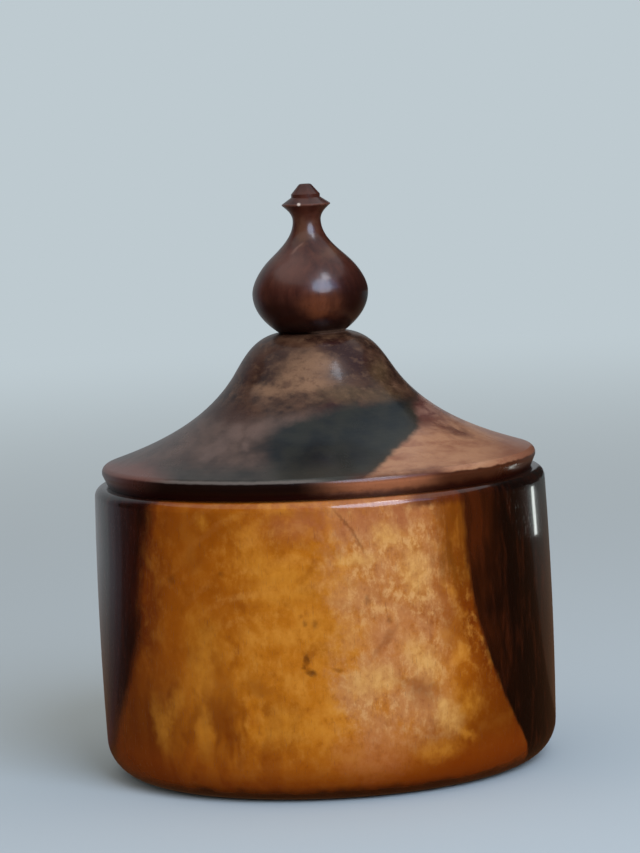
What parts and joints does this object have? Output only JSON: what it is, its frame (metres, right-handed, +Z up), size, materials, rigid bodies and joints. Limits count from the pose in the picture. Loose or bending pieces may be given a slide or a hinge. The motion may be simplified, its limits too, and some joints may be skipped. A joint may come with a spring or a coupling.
{
  "type": "lidded jar",
  "caption": "Turned wooden jar with a barrel-sided vessel, an ogee lid whose spigot drops into the mouth, and an onion finial to lift it by.",
  "frame": {"origin": "middle of the base, on the surface that the jar stands on", "axes": "+Z up along the lathe axis from the base to the finial's tip; -Y towards the pictured side; +X to that view's right"},
  "size_m": [0.13, 0.13, 0.1662],
  "materials": {
    "vessel_wood": "polished and waxed, golden sapwood with near-black heartwood at the sides",
    "lid_wood": "waxed, mottled brown with a dark patch and a pinkish tan side",
    "finial_wood": "polished, dark reddish brown"
  },
  "bodies": {
    "vessel": {"vessel": "vessel_wood"},
    "lid": {"lid": "lid_wood", "finial": "finial_wood"}
  },
  "joints": [
    {"name": "lid_lift", "type": "slide", "parent": "vessel", "child": "lid", "axis": [0, 0, 1], "range_m": [0, 0.13]}
  ]
}
